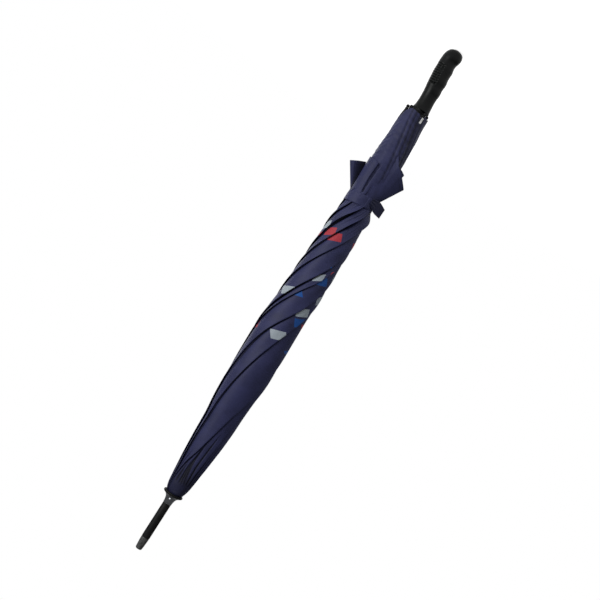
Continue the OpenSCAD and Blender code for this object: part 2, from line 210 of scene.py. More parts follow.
# woven polyester: fine plain weave, soft satin sheen, a print of slanted patches down the canopy
def navyPongee():
    # fold is the near-black that the painted shade of the folds mixes towards
    look = dict(navy="#272948", deep="#1e2039", fold="#07070f", sheen="#7078b0",
                red="#8a2a33", grey="#7f878e", blue="#16407c", inkTo=(0.13, 0.22, 0.31),
                thread=1.3, wrinkle=26, patch=(40, 24), patchTurn=34, patchHalf=0.33,
                printFrom=300, printTo=535, seamAt=6, seamHalf=0.5, weaveTone=0.3, seamTone=0.25,
                wrinkleRelief=3.0)
    # real threads are about 0.15 mm apart: drawn at 1.3 mm, the finest that shows in the render
    m, shader = blank("navyPolyesterPongee",
                      {"IOR": 1.45, "Specular IOR Level": 0.18, "Sheen Weight": 0.06,
                       "Sheen Roughness": 0.45, "Sheen Tint": linear(look["sheen"])})
    uv = addNode(m, "ShaderNodeUVMap", uv_map="cloth").outputs["UV"]
    waves = [addNode(m, "ShaderNodeTexWave",
                     {"Scale": waveUnit / (look["thread"] * mm), "Distortion": 0.6, "Detail": 1},
                     {"Vector": uv}, bands_direction=d).outputs["Fac"] for d in "XY"]
    weave = addNode(m, "ShaderNodeMath", None, {0: waves[0], 1: waves[1]},
                    operation="MULTIPLY").outputs[0]
    cloud = addNode(m, "ShaderNodeTexNoise",
                    {"Scale": 1 / (look["wrinkle"] * mm), "Detail": 3, "Roughness": 0.6},
                    {"Vector": uv}).outputs["Fac"]
    tone = addNode(m, "ShaderNodeMath", {1: look["weaveTone"]}, {0: weave, 2: cloud},
                   operation="MULTIPLY_ADD").outputs[0]
    ramp = addNode(m, "ShaderNodeValToRGB", None, {"Fac": tone})
    ramp.color_ramp.elements[0].position = 0.3
    ramp.color_ramp.elements[0].color = linear(look["deep"])
    ramp.color_ramp.elements[1].position = 0.75
    ramp.color_ramp.elements[1].color = linear(look["navy"])
    # slanted patches, one to a cell and some left out, in a band of the cloth
    spin = addNode(m, "ShaderNodeMapping",
                   {"Rotation": (0, 0, math.radians(look["patchTurn"])),
                    "Scale": (1 / (look["patch"][0] * mm), 1 / (look["patch"][1] * mm), 1)},
                   {"Vector": uv}).outputs["Vector"]
    cells = addNode(m, "ShaderNodeTexVoronoi", {"Scale": 1, "Randomness": 0.3}, {"Vector": spin},
                    distance="CHEBYCHEV")
    inPatch = addNode(m, "ShaderNodeMath", {1: look["patchHalf"]}, {0: cells.outputs["Distance"]},
                      operation="LESS_THAN").outputs[0]
    pick = addNode(m, "ShaderNodeSeparateColor", None, {"Color": cells.outputs["Color"]}).outputs[0]
    inks = addNode(m, "ShaderNodeValToRGB", None, {"Fac": pick})
    inks.color_ramp.interpolation = "CONSTANT"
    for place, ink in zip((0,) + look["inkTo"][:2], ("red", "grey", "blue")):
        stops = inks.color_ramp.elements
        (stops.new(place) if place else stops[0]).color = linear(look[ink])
    inks.color_ramp.elements[-1].color = linear(look["blue"])
    used = addNode(m, "ShaderNodeMath", {1: look["inkTo"][2]}, {0: pick},
                   operation="LESS_THAN").outputs[0]
    height = addNode(m, "ShaderNodeSeparateXYZ", None, {"Vector": uv}).outputs["Y"]
    low = addNode(m, "ShaderNodeMath", {1: look["printFrom"] * mm}, {0: height},
                  operation="GREATER_THAN").outputs[0]
    high = addNode(m, "ShaderNodeMath", {1: look["printTo"] * mm}, {0: height},
                   operation="LESS_THAN").outputs[0]
    band = addNode(m, "ShaderNodeMath", None, {0: low, 1: high}, operation="MULTIPLY").outputs[0]
    inked = addNode(m, "ShaderNodeMath", None, {0: inPatch, 1: used},
                    operation="MULTIPLY").outputs[0]
    inked = addNode(m, "ShaderNodeMath", None, {0: inked, 1: band}, operation="MULTIPLY").outputs[0]
    dyed = addNode(m, "ShaderNodeMix", None,
                   {"Factor": inked, 6: ramp.outputs["Color"], 7: inks.outputs["Color"]},
                   data_type="RGBA").outputs[2]
    # the seam along the hem, and painted shade in the folds, mixed towards the fold colour
    run = addNode(m, "ShaderNodeAttribute", attribute_name="hemRun").outputs["Fac"]
    seam = addNode(m, "ShaderNodeMath", {1: look["seamAt"] * mm, 2: look["seamHalf"] * mm},
                   {0: run}, operation="COMPARE").outputs[0]
    paintedFoldShade = addNode(m, "ShaderNodeAttribute", attribute_name="paintedShade").outputs["Fac"]
    dark = addNode(m, "ShaderNodeMath", {1: look["seamTone"]}, {0: seam, 2: paintedFoldShade},
                   operation="MULTIPLY_ADD", use_clamp=True).outputs[0]
    shade = addNode(m, "ShaderNodeMix", {7: linear(look["fold"])}, {"Factor": dark, 6: dyed},
                    data_type="RGBA").outputs[2]
    rough = addNode(m, "ShaderNodeMapRange", {"To Min": 0.48, "To Max": 0.64},
                    {"Value": cloud}).outputs["Result"]
    relief = addNode(m, "ShaderNodeMath", {1: look["wrinkleRelief"]}, {0: cloud, 2: weave},
                     operation="MULTIPLY_ADD").outputs[0]
    normal = addNode(m, "ShaderNodeBump", {"Strength": 0.16, "Distance": 0.4 * mm},
                     {"Height": relief}).outputs["Normal"]
    plug(m, shader, colour=shade, roughness=rough, normal=normal)
    return m


# moulded or coated: grain and mottling by their sizes in mm; the grain is drawn coarser than the
# real one so that it shows
def moulded(name, values, colours, grain, depth, rough, mottle=9):
    m, shader = blank(name, values)
    spot = addNode(m, "ShaderNodeTexCoord").outputs["Object"]
    fine = addNode(m, "ShaderNodeTexNoise", {"Scale": 1 / (grain * mm), "Detail": 2},
                   {"Vector": spot}).outputs["Fac"]
    broad = addNode(m, "ShaderNodeTexNoise", {"Scale": 1 / (mottle * mm), "Detail": 3},
                    {"Vector": spot}).outputs["Fac"]
    both = addNode(m, "ShaderNodeMath", None, {0: fine, 1: broad}, operation="MULTIPLY").outputs[0]
    ramp = addNode(m, "ShaderNodeValToRGB", None, {"Fac": both})
    ramp.color_ramp.elements[0].position = 0.12
    ramp.color_ramp.elements[0].color = linear(colours[0])
    ramp.color_ramp.elements[1].position = 0.42
    ramp.color_ramp.elements[1].color = linear(colours[1])
    worn = addNode(m, "ShaderNodeMapRange", {"To Min": rough[0], "To Max": rough[1]},
                   {"Value": broad}).outputs["Result"]
    normal = addNode(m, "ShaderNodeBump", {"Strength": 0.5, "Distance": depth * mm},
                     {"Height": fine}).outputs["Normal"]
    plug(m, shader, colour=ramp.outputs["Color"], roughness=worn, normal=normal)
    return m


# drawn or pultruded along the stick: streaks by their width and length in mm, drawn wider than the
# real ones so that they show
def drawn(name, values, colours, streak, rough, streakLen=1000 / 12):
    m, shader = blank(name, values)
    spot = addNode(m, "ShaderNodeTexCoord").outputs["Object"]
    across, lengthways = 1 / (streak * mm), 1 / (streakLen * mm)
    long = addNode(m, "ShaderNodeMapping", {"Scale": (across, across, lengthways)},
                   {"Vector": spot}).outputs["Vector"]
    lines = addNode(m, "ShaderNodeTexNoise", {"Scale": 1, "Detail": 4},
                    {"Vector": long}).outputs["Fac"]
    ramp = addNode(m, "ShaderNodeValToRGB", None, {"Fac": lines})
    ramp.color_ramp.elements[0].position = 0.3
    ramp.color_ramp.elements[0].color = linear(colours[0])
    ramp.color_ramp.elements[1].position = 0.7
    ramp.color_ramp.elements[1].color = linear(colours[1])
    worn = addNode(m, "ShaderNodeMapRange", {"To Min": rough[0], "To Max": rough[1]},
                   {"Value": lines}).outputs["Result"]
    normal = addNode(m, "ShaderNodeBump", {"Strength": 0.25, "Distance": 0.1 * mm},
                     {"Height": lines}).outputs["Normal"]
    plug(m, shader, colour=ramp.outputs["Color"], roughness=worn, normal=normal)
    return m


# woven polyester label, bare, with cross threads drawn at 0.8 mm so that they show
def whiteLabel():
    look = dict(shadow="#a9a9a8", light="#d2d2d0", thread=0.8)
    m, shader = blank("whiteWovenLabel", {"Roughness": 0.7, "Specular IOR Level": 0.3,
                                          "Sheen Weight": 0.1})
    uv = addNode(m, "ShaderNodeUVMap", uv_map="cloth").outputs["UV"]
    threads = addNode(m, "ShaderNodeTexWave",
                      {"Scale": waveUnit / (look["thread"] * mm), "Distortion": 0.4},
                      {"Vector": uv}, bands_direction="Y").outputs["Fac"]
    ramp = addNode(m, "ShaderNodeValToRGB", None, {"Fac": threads})
    ramp.color_ramp.elements[0].color = linear(look["shadow"])
    ramp.color_ramp.elements[1].color = linear(look["light"])
    normal = addNode(m, "ShaderNodeBump", {"Strength": 0.4, "Distance": 0.2 * mm},
                     {"Height": threads}).outputs["Normal"]
    plug(m, shader, colour=ramp.outputs["Color"], normal=normal)
    return m


pongee = navyPongee()
labelCloth = whiteLabel()
# moulded grip, satin with a fine spark-eroded grain
gripAbs = moulded("satinGripAbs", {"IOR": 1.5, "Specular IOR Level": 0.11},
                  ("#040505", "#090b0c"), 0.9, 0.02, (0.3, 0.37))
# plated trumpet: grey reflections and sharp glints
gunmetal = moulded("blackNickelPlate", {"Metallic": 0.9}, ("#6a6c70", "#86888c"), 1.2, 0.01,
                   (0.1, 0.16))
# stove lacquer on steel tube, slightly mottled
tubeLacquer = moulded("blackTubeLacquer", {"IOR": 1.5, "Specular IOR Level": 0.1},
                      ("#0d0d0e", "#171718"), 1.4, 0.03, (0.46, 0.6))
# coarse moulded grain that breaks up the light
grainedNylon = moulded("grainedGreyNylon", {"IOR": 1.52, "Specular IOR Level": 0.3},
                       ("#222323", "#484949"), 1.5, 0.16, (0.5, 0.66), 4)
# moulded and slippery, with a dull sheen
hubAcetal = moulded("blackAcetal", {"IOR": 1.48, "Specular IOR Level": 0.15},
                    ("#070708", "#0e0e0f"), 0.8, 0.02, (0.5, 0.62))
# pultruded rod: black resin with faint fibres
fibreRod = drawn("blackGlassFibre", {"IOR": 1.52, "Specular IOR Level": 0.2},
                 ("#151516", "#242527"), 0.5, (0.3, 0.42))
# dipped steel strip: even black gloss
channelLacquer = drawn("lacquerOnSteelChannel", {"IOR": 1.5, "Specular IOR Level": 0.25},
                       ("#17181a", "#25272a"), 0.8, (0.26, 0.4))
# drawn wire and strip: bright, with fine draw lines
springSteel = drawn("brightSpringSteel", {"Metallic": 1.0}, ("#8d9095", "#b9bcc1"), 0.3,
                    (0.24, 0.36))
print("materials ready")

# frame nodes that keep their own shape
finishes = {"shaft": tubeLacquer, "top_notch": hubAcetal, "notch_ring": springSteel,
            "runner": hubAcetal, "runner_ring": springSteel, "top_catch": springSteel,
            "bottom_catch": springSteel}
for i in ribNumbers:
    finishes.update({f"rib_{i}": fibreRod, f"rib_joint_{i}": hubAcetal,
                     f"stretcher_{i}": channelLacquer})
for nodeName, finish in finishes.items():
    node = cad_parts[nodeName]
    node.data.materials.clear()
    node.data.materials.append(finish)
print("frame nodes finished:", len(finishes))

# ferrule: the bare tube end, with a plug in the shaft and a bore for the end cap
ferrule = dict(r=stick["ferruleR"], plugR=5.95, plugLen=22, bore=4.0, boreDeep=14,
               chamfer=(0.45, 0.7), edge=0.25)
z0, z1 = stick["ferruleZ"], stick["tipZ"]
bm = turned([(0, z0 - ferrule["plugLen"]), (ferrule["plugR"], z0 - ferrule["plugLen"]),
             (ferrule["plugR"], z0), (ferrule["r"], z0), (ferrule["r"], z1 - ferrule["chamfer"][1]),
             (ferrule["r"] - ferrule["chamfer"][0], z1), (ferrule["bore"], z1),
             (ferrule["bore"], z1 - ferrule["boreDeep"]), (0, z1 - ferrule["boreDeep"])])
tube = keep(bm, "ferrule_tube", tubeLacquer, "shaft", ["ferrule"])
soften(tube, ferrule["edge"])

# end cap: a peg in the ferrule, then the cap itself
endCap = dict(profile=[(0, -13), (3.9, -13), (3.9, 0), (6.55, 0.05), (6.95, 0.35), (7.08, 1.0),
                       (7.02, 5), (6.6, 12), (6.05, 18.5), (5.85, 20.4), (5.5, 21.7), (4.9, 22.5),
                       (3.9, 22.9), (2.2, 23), (0, 23)])
keep(turned([(r, z1 + z) for r, z in endCap["profile"]]), "end_cap_moulding", grainedNylon,
     "shaft", ["end_cap"])

# crown cap: a trumpet on a flange
trumpet = dict(steps=96, flange=3.6,
               profile=[(7.05, 0), (13, 0.02), (17.5, 0), (17.85, 0.35), (18.0, 1.1), (17.95, 2.3),
                        (17.5, 3.1), (16.4, 3.9), (14.6, 4.8), (12.6, 6.1), (11.0, 7.6), (9.9, 9.2),
                        (9.1, 11.0), (8.45, 13.2), (8.0, 15.6), (7.7, 18.4), (7.5, 20.6),
                        (7.3, 21.1), (7.05, 20.6)])
bm = turned([(r, stick["capZ"] + z) for r, z in trumpet["profile"]], trumpet["steps"])
crownCap = keep(bm, "crown_cap_moulding", gunmetal, "shaft", ["crown_cap"])
crownCap.data.materials.append(hubAcetal)  # the flange is left as moulded
for face in crownCap.data.polygons:
    if face.center.z < (stick["capZ"] + trumpet["flange"]) * mm:
        face.material_index = 1
print("tip pieces made")

# handle: a loft of rings from the butt to the flared collar, then down its wall to the shaft
# butt and lip are rows of height and inset, and no inset means the shaft's own radius
handle = dict(
    bottom=-58, depth=0.46, segments=128, bore=7.02, rowFrom=-56.6, rowStep=0.5, rows=235,
    grooves=9, grooveFrom=-23.5, groovePitch=4.3, grooveDeep=1.7, grooveWidth=0.26, lastDeep=1.5,
    backFrom=-0.02, backSoft=0.3, edgeFaint=0.8, edgeWidth=0.7,
    buttShare=0.55, buttShift=(-0.6, -0.3), buttEnd=(-0.9, -58.45),
    butt=[(-58, 0), (-57.8, 0), (-57.5, 0), (-57.1, 0)],
    lip=[(61, 0), (61.2, 0.35), (61.3, 0.75), (61.2, 1.15), (60.9, 1.5), (57, 2.0), (52.5, 2.4),
         (52.4, None)],
    back=[(-58, 3.5), (-55, 9.3), (-50, 12.9), (-45, 14.7), (-40, 15.5), (-30, 15.9), (-20, 15.7),
          (-10, 15.5), (0, 14.5), (10, 13.5), (20, 11.9), (30, 10.7), (40, 10.1), (50, 10.2),
          (55, 10.7), (58, 11.5), (61, 12.6)],
    front=[(-58, 8), (-55, 13.5), (-50, 16.3), (-45, 16.8), (-40, 15.9), (-35, 14.3), (-30, 13.8),
           (-25, 14.5), (-20, 15.5), (-15, 15.4), (-10, 15.4), (-5, 15.9), (0, 16.9), (5, 17.1),
           (10, 16.6), (15, 16.6), (20, 17.3), (25, 17.3), (30, 16.8), (35, 16.7), (40, 16.9),
           (50, 17.8), (55, 18.4), (58, 18.8), (61, 19.5)])


def gripSpot(turn, z, inset=0.0):
    # the rings are cut on the back only, and are faint along its edge
    side = ease((math.cos(turn) - handle["backFrom"]) / handle["backSoft"])
    side *= 1 - handle["edgeFaint"] * bump(turn, 0, handle["edgeWidth"])
    if side > 0 and inset == 0:
        step = (z - handle["grooveFrom"]) / handle["groovePitch"]
        near = min(handle["grooves"] - 1, max(0, round(step)))
        inset = handle["grooveDeep"] * side * bump(step, near, handle["grooveWidth"])
        inset *= handle["lastDeep"] if near == handle["grooves"] - 1 else 1
    back, front = flowing(handle["back"], z) - inset, flowing(handle["front"], z) - inset
    return Vector(((back - front) / 2 + (back + front) / 2 * math.cos(turn),
                   handle["depth"] * (back + front) * math.sin(turn), z))


def makeHandle():
    bm = bmesh.new()
    turnLayer = bm.verts.layers.float.new("turn")
    bmesh.ops.create_circle(bm, segments=handle["segments"], radius=1)
    share, low = handle["buttShare"], handle["bottom"]
    shift = Vector((handle["buttShift"][0], 0, low * (1 - share) + handle["buttShift"][1]))
    for v in bm.verts:
        v[turnLayer] = math.atan2(v.co.y, v.co.x)
        v.co = gripSpot(v[turnLayer], low) * share + shift
    ring, bottom = list(bm.edges), list(bm.verts)
    plain = [(handle["rowFrom"] + handle["rowStep"] * k, 0) for k in range(handle["rows"])]
    for z, inset in handle["butt"] + plain + handle["lip"]:
        out = bmesh.ops.extrude_edge_only(bm, edges=ring)["geom"]
        ring = [g for g in out if isinstance(g, bmesh.types.BMEdge)]
        for v in (g for g in out if isinstance(g, bmesh.types.BMVert)):
            if inset is None:
                v.co = around(handle["bore"], math.degrees(v[turnLayer]), z)
            else:
                v.co = gripSpot(v[turnLayer], z, inset)
    end = Vector((handle["buttEnd"][0], 0, handle["buttEnd"][1]))
    bmesh.ops.pointmerge(bm, verts=bottom, merge_co=end)
    bmesh.ops.recalc_face_normals(bm, faces=bm.faces)
    return bm


keep(makeHandle(), "handle_grip", gripAbs, "shaft", ["handle"])
print("handle made")

# rib tips: a sleeve on the rod, then a ball
ribTip = dict(ballR=3.0, ballZ=-758, ballTurns=range(50, 181, 10), steps=32,
              sleeve=[(1.86, -746.6), (2.4, -746.6), (2.6, -746.9), (2.6, -754.4), (2.3, -755.3),
                      (2.2, -755.8)])
ball = [(ribTip["ballR"] * math.sin(math.radians(a)),
         ribTip["ballZ"] + ribTip["ballR"] * math.cos(math.radians(a)))
        for a in ribTip["ballTurns"]]
for i in ribNumbers:
    bm = turned(ribTip["sleeve"] + ball, ribTip["steps"])
    bmesh.ops.transform(bm, matrix=ribPlace(i), verts=bm.verts)
    keep(bm, f"rib_tip_ball_{i}", hubAcetal, f"rib_{i}", [f"rib_tip_{i}"])
print("rib tips made")

# rolled canopy: eight leaves, each folded under at its free edge and lying over the one before it
# tables go by the distance below the crown as a share of the rib's length; edges are the places
# of the free edges round the crown before the twist; gape, lift and pleats are by leaf; swell,
# wander and pucker are waves, and calm, puckerFrom and the like are where a change starts and the
# length that it takes
# darkest, darkAt, darkWidth, darkWide, underDark and crownDark set the painted shade
wrap = dict(
    start=-0.009, end=0.777, twistFrom=0.003, twist=380, power=2.2, cols=60, rows=200,
    fold=0.1, under=0.2, reach=1.45, crowd=1.1, full=0.85, stand=1.7, standOver=0.4, slack=1.02,
    calm=(0.012, 0.07), swell=(0.3, 27, 2.1), wander=(1.2, 11, 1.9), pucker=(0.35, 27, 1.3),
    puckerFrom=(0.66, 0.07), puckerTo=(1.1, 0.3), valleyWidth=2.4, gapeDeep=2.2, gapeWide=2.6,
    edgeDip=(0.5, 1.1), liftOver=0.45, pleatDeep=2.0, pleatWidth=0.052, pleatFrom=(0.014, 0.02),
    pleatTo=(0.01, 0.05), tuck=(1.15, 0.1), flatWidth=44, flatStep=61, darkest=0.9, darkAt=-0.4,
    darkWidth=1.5, darkWide=2.2, underDark=3, crownDark=(0.5, 0.08, 0.07),
    radius=[(-0.009, 15.2), (-0.0026, 17.5), (0.004, 19.0), (0.0105, 20.1), (0.017, 20.9),
            (0.03, 21.9), (0.057, 22.8), (0.083, 24.3), (0.109, 26.0), (0.135, 27.5), (0.162, 28.6),
            (0.188, 29.6), (0.214, 31.0), (0.24, 32.5), (0.267, 34.0), (0.293, 34.9), (0.33, 35.2),
            (0.385, 35.2), (0.43, 34.8), (0.5, 33.6), (0.556, 32.4), (0.61, 31.0), (0.66, 29.9),
            (0.7, 28.6), (0.728, 27.2), (0.742, 25.8), (0.752, 25.2), (0.777, 25.0)],
    lean=[(0, -0.3), (0.05, -0.8), (0.17, -0.8), (0.22, 0.6), (0.3, 0.4), (0.36, 1.0), (0.41, 2.4),
          (0.45, 1.7), (0.5, 0.3), (0.56, -0.4), (0.64, -1.0), (0.7, -1.0), (0.735, -1.7),
          (0.755, -0.4), (0.777, 0)],
    lap=[(0.003, 1.2), (0.08, 1.9)],
    valley=[(0, 0.1), (0.02, 0.5), (0.08, 1.6), (0.3, 1.9), (0.66, 2.0), (0.722, 3.6), (0.75, 1.0),
            (0.78, 0.3)],
    gape={5: (0.705, 0.02), 6: (0.7, 0.022)},
    lift={5: (3.2, 0.728, 0.018), 6: (2.4, 0.71, 0.022), 7: (2.4, 0.722, 0.02),
          8: (0.8, 0.7, 0.03)},
    pleats={1: [[(0.02, 0.3), (0.12, 0.4)], [(0.02, 0.65), (0.14, 0.7)]],
            2: [[(0.02, 0.5), (0.12, 0.6)]],
            3: [[(0.02, 0.35), (0.1, 0.5)], [(0.02, 0.7), (0.1, 0.75)]],
            4: [[(0.02, 0.4), (0.12, 0.5)]],
            5: [[(0.02, 0.4), (0.12, 0.5)], [(0.02, 0.75), (0.1, 0.7)]],
            6: [[(0.02, 0.2), (0.12, 0.3)], [(0.02, 0.5), (0.14, 0.6)], [(0.02, 0.8), (0.1, 0.85)]],
            7: [[(0.02, 0.2), (0.13, 0.95)], [(0.02, 0.5), (0.09, 0.78)],
                [(0.02, 0.74), (0.08, 0.9)], [(0.02, 0.08), (0.16, 0.5)],
                [(0.02, 0.36), (0.12, 0.88)]],
            8: [[(0.02, 0.3), (0.1, 0.45)], [(0.02, 0.65), (0.09, 0.8)]]},
    edges=[[(0.02, -34), (0.08, -29), (0.2, -25), (0.35, -20), (0.45, -24), (0.777, -20)],
           [(0.02, 12), (0.1, -6), (0.18, -4), (0.235, 12), (0.28, 20), (0.36, 27), (0.42, 24),
            (0.5, 15), (0.777, 23)],
           [(0.02, 60), (0.3, 60), (0.43, 80), (0.51, 76), (0.57, 67), (0.777, 70)],
           [(0.02, 105), (0.35, 100), (0.45, 96), (0.53, 91), (0.6, 87), (0.777, 92)],
           [(0.02, 150), (0.777, 150)],
           [(0.02, 195), (0.6, 193), (0.68, 198), (0.72, 203), (0.777, 200)],
           [(0.02, 234), (0.15, 233), (0.4, 228), (0.64, 228), (0.69, 241), (0.777, 240)],
           [(0.02, 318), (0.066, 304), (0.1, 287), (0.13, 278), (0.19, 266), (0.237, 255),
            (0.35, 258), (0.5, 280), (0.777, 290)]])


def leafEdge(i, f):
    rounds, k = divmod(i - 1, stick["ribs"])
    return flowing(wrap["edges"][k], f) + 360 * rounds


# share down the ribs, share of the way to the next leaf's edge, share of the part that is folded
# under, and the distance between the two edges in mm
def leafPlace(i, s, t):
    f = wrap["start"] + (wrap["end"] - wrap["start"]) * t
    rest = (s - wrap["fold"]) / (1 - wrap["fold"])
    under = max(0, -rest / wrap["fold"] * (1 - wrap["fold"]))
    phase = wrap["under"] * under if rest < 0 else wrap["reach"] * rest ** wrap["crowd"]
    arc = math.radians(leafEdge(i + 1, f) - leafEdge(i, f)) * flowing(wrap["radius"], f)
    return f, phase, under, arc


def leafPleat(i, f, phase):
    begun = ease((f - wrap["pleatFrom"][0]) / wrap["pleatFrom"][1])
    return sum(begun * bump(phase, along(line, f), wrap["pleatWidth"])
               * ease((line[-1][0] + wrap["pleatTo"][0] - f) / wrap["pleatTo"][1])
               for line in wrap["pleats"][i])


def leafGape(i, f):  # how far the fold before the next leaf's edge opens just before the strap
    place, width = wrap["gape"].get(i, (0, 1))
    return bump(f, place, width) if place else 0


def leafSpot(i, s, t):
    f, phase, under, arc = leafPlace(i, s, t)
    soft = ease((f - wrap["calm"][0]) / wrap["calm"][1])  # smooth where the cloth leaves the crown
    k = math.floor(phase)
    near, far = leafEdge(i + k, f), leafEdge(i + k + 1, f)
    crest = math.sin(math.pi * min(1, phase))
    gape = leafGape(i, f)
    r = flowing(wrap["radius"], f) - along(wrap["lap"], f) * phase
    r += soft * crest * (wrap["full"] + wave(wrap["swell"], f, i))
    r += soft * wrap["stand"] * max(0, 1 - phase / wrap["standOver"]) ** 2
    r -= ((along(wrap["valley"], f) + wrap["gapeDeep"] * gape)
          * bump((1 - phase) * arc, 0, wrap["valleyWidth"] + wrap["gapeWide"] * gape))
    r -= wrap["edgeDip"][0] * bump(phase * arc, 0, wrap["edgeDip"][1])
    r -= wrap["pleatDeep"] * leafPleat(i, f, phase)
    r += (ease((f - wrap["puckerFrom"][0]) / wrap["puckerFrom"][1])
          * ease((wrap["puckerTo"][0] - phase) / wrap["puckerTo"][1])
          * wave(wrap["pucker"], phase, i))
    if i in wrap["lift"]:  # the free edge stands off just before the strap
        high, place, width = wrap["lift"][i]
        r += high * bump(f, place, width) * ease(1 - phase / wrap["liftOver"])
    r -= wrap["tuck"][0] * ease(under) + wrap["tuck"][1] * (under > 0)
    span = max(0, (f - wrap["twistFrom"]) / (wrap["end"] - wrap["twistFrom"]))
    turn = near + (far - near) * (phase - k) + soft * wave(wrap["wander"], f, i)
    p = around(r, turn - wrap["twist"] * span ** wrap["power"],
               stick["crownZ"] - f * stick["ribLen"])
    p.x += flowing(wrap["lean"], f)
    return p


# painted shade: darker in the valley before the next leaf's edge, in the pleats, near the crown and
# on the part folded under
def leafPaintedShade(i, s, t):
    f, phase, under, arc = leafPlace(i, s, t)
    width = wrap["darkWidth"] + wrap["darkWide"] * leafGape(i, f)
    valley = along(wrap["valley"], f) / 2 * bump((1 - phase) * arc, wrap["darkAt"], width)
    deep, start, span = wrap["crownDark"]
    return min(wrap["darkest"], valley + leafPleat(i, f, phase) + deep * ease((start - f) / span)
               + wrap["darkest"] * ease(under * wrap["underDark"]))


def sag(piece):  # gives the piece a mesh of its own
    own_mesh(piece)


leafLen = (wrap["end"] - wrap["start"]) * stick["ribLen"]
for i in ribNumbers:
    bm = cloth(wrap["cols"], wrap["rows"], lambda s, t: leafSpot(i, s, t),
               lambda s, t: (wrap["flatWidth"] * s + wrap["flatStep"] * i, leafLen * t), None,
               lambda s, t: leafPaintedShade(i, s, t))
    size = clothArea(bm) / (leafLen * wrap["slack"] * mm)
    leaf = keep(bm, f"canopy_leaf_{i}", pongee, "shaft", ["furled_canopy"])
    sag(leaf)
print("rolled canopy made")

# crown patch: the cone of cloth under the crown cap, with a slight ripple below the cap
crown = dict(line=[(7.3, 829.6), (11.6, 829.75), (12.6, 829.5), (13.4, 828.0), (14.8, 825.8),
                   (16.0, 823.4), (16.4, 822.4)],
             steps=96, rippleBelow=829, ripple=0.006, ripples=16)
bm = turned(crown["line"], crown["steps"])
uvLayer = bm.loops.layers.uv.new("cloth")
hemLayer = bm.verts.layers.float.new("hemRun")
for v in bm.verts:
    v[hemLayer] = 1.0
    if v.co.z < crown["rippleBelow"]:
        ripple = 1 + crown["ripple"] * math.sin(crown["ripples"] * math.atan2(v.co.y, v.co.x))
        v.co *= Vector((ripple, ripple, 1))
for face in bm.faces:
    for loop in face.loops:
        loop[uvLayer].uv = (loop.vert.co.x * mm, loop.vert.co.y * mm)
patchSize = math.sqrt(clothArea(bm))
patch = keep(bm, "crown_patch_cloth", pongee, "shaft", ["crown_patch"])

# gathered hem between the strap and the rib tips; a turn of 0 is on the grip's back, and 270 faces
# the camera; cuts are height, turn and width, longFolds are depth, turn and width, and tucks are
# depth, then turn and share down with their widths
# tuckDark, foldDark, foldFrom, sideDark, darkSide and darkest set the painted shade, and tuckDark
# gives a tuck's darkness in place of its depth
hem = dict(top=236, end=66, cols=200, rows=96, slant=60, flatWidth=157, flatAt=(300, 600),
           backCut=26, backSharp=(4, 30), cuts=[(7, 243, 13), (6, 198, 22), (3.5, 270, 18)],
           calm=(0.03, 0.2), calmEnd=(1.06, 0.3), swell=(0.25, 5, 22), frillLen=(0.12, 0.1),
           rings=[(0.3, 95, 1.5), (0.18, 61, -3)], ringSide=(0.5, 0.8, 35),
           tuck=(2.2, 283, 6, 0.2, 0.13), tuckDark=(0.7, 281, 6, 0.2, 0.16), foldDark=0.4,
           foldFrom=0.2, sideDark=0.55, darkSide=(0.35, 0.9, 45), darkest=0.75,
           longFolds=[(1.5, 232, 6), (1.1, 212, 5), (0.9, 191, 5), (0.9, 172, 5), (0.8, 120, 6),
                      (0.8, 80, 6)],
           ripples=[(0.2, 7, 0), (0.15, 11, 0.8)], frills=[(0.25, 24, 0), (0.2, 16, 0)],
           radius=[(0, 23.0), (0.1, 23.9), (0.2, 25.3), (0.42, 26.6), (0.6, 26.1), (0.72, 25.0),
                   (0.85, 23.8), (1, 23.2)],
           lean=[(0, 0), (0.15, -0.6), (0.35, -2.0), (0.7, -2.0), (0.85, -0.9), (1, -0.4)])


def hemEnd(a):  # cut higher on the grip's back, where one rib shows, and over the label
    back = max(0, math.cos(math.radians(a))) ** hem["backSharp"][0 if a > 180 else 1]
    return (hem["end"] + hem["backCut"] * back
            + sum(high * bump(a, turn, width) for high, turn, width in hem["cuts"]))


def hemFold(s, t):  # long folds against the twist, and on the grip's back short wrinkles round it
    a = 360 * s
    turn = math.radians(a)
    leaned = a - hem["slant"] * t
    plain, side, shift = hem["ringSide"]
    back = ease(plain + side * math.cos(math.radians(a + shift)))
    ring = wave(hem["rings"][0], t, math.sin(2 * turn)) + wave(hem["rings"][1], t, turn)
    folds = sum(deep * bump((leaned - place + 180) % 360 - 180, 0, width)
                for deep, place, width in hem["longFolds"])
    return sum(wave(shape, math.radians(leaned)) for shape in hem["ripples"]) + back * ring - folds


def hemTuck(shape, a, t):  # where the hem is pressed in between corners 7 and 8
    deep, turn, width, place, length = shape
    return deep * bump(a, turn, width) * bump(t, place, length)


# painted shade: darker in the long folds, on the side of the roll away from the key light, and in
# the tuck between corners 7 and 8
def hemShade(s, t):
    start, span, shift = hem["darkSide"]
    right = ease((start - math.cos(math.radians(360 * s - hem["slant"] * t + shift))) / span)
    dark = -hem["foldDark"] * hemFold(s, t) - hem["foldFrom"] + hem["sideDark"] * right
    return max(0, min(hem["darkest"], dark + hemTuck(hem["tuckDark"], 360 * s, t)))


